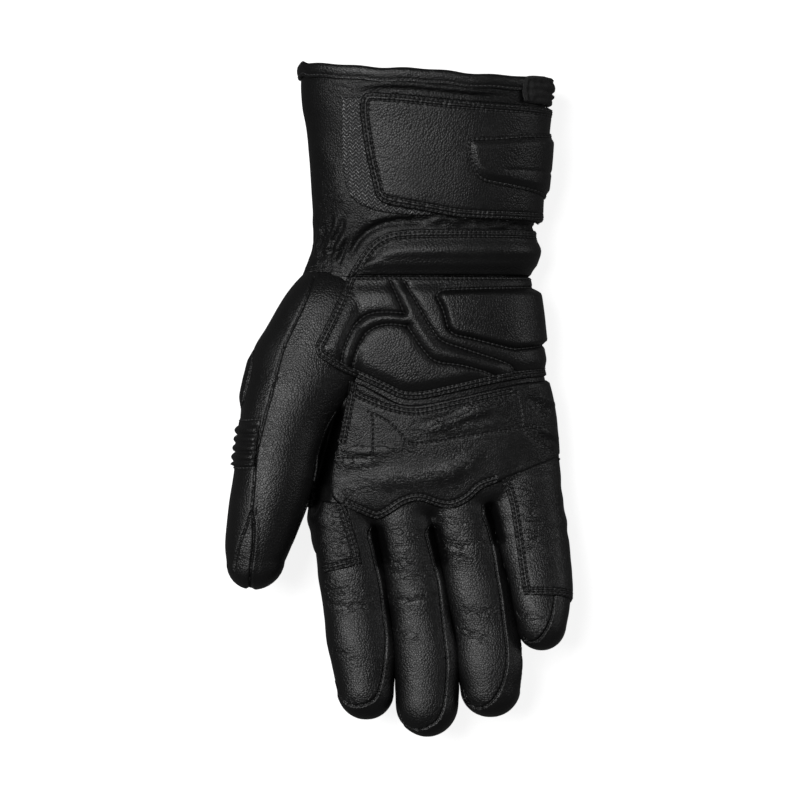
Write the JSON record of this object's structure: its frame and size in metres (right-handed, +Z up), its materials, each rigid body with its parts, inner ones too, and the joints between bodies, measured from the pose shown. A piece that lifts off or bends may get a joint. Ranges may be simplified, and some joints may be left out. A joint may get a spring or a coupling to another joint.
{
  "type": "winter motorcycle glove",
  "caption": "Right-hand padded leather gauntlet glove, lying palm up: flared cuff with strap closure, padded heel and wrist, ribbed thumb, overlaid palm and hollow fingers.",
  "frame": {"origin": "middle of the outline seen from above, at the height of the surface that the back of the glove lies on", "axes": "+X towards the little finger's side, +Y along the hand towards the cuff's mouth, +Z up out of the palm"},
  "size_m": [0.1553, 0.3023, 0.0542],
  "materials": {
    "black_leather": "semi-gloss pebbled cowhide, black",
    "palm_leather": "softer fine-grained goatskin, black",
    "black_textile": "matt woven textile and hook-and-loop, black"
  },
  "bodies": {
    "root": {"cuff_shell": "black_leather", "palm_panel": "black_leather", "back_panel": "black_leather", "index_front": "black_leather", "index_fourchette": "black_leather", "index_back": "black_leather", "middle_front": "black_leather", "middle_fourchette": "black_leather", "middle_back": "black_leather", "ring_front": "black_leather", "ring_fourchette": "black_leather", "ring_back": "black_leather", "little_front": "black_leather", "little_fourchette": "black_leather", "little_back": "black_leather", "thumb_inner_panel": "black_leather", "thumb_outer_panel": "black_leather", "thumb_tip_panel": "black_leather", "thumb_ribs": "black_leather", "thumb_back_pad": "black_leather", "hem": "black_leather", "gusset_fold": "black_textile", "wrist_pad": "black_leather", "heel_pad": "black_leather", "palm_overlay": "palm_leather", "little_finger_patch": "palm_leather", "index_patch": "palm_leather", "hook_patch": "black_textile", "cuff_strap": "black_leather", "strap_tab": "black_leather"}
  },
  "joints": []
}
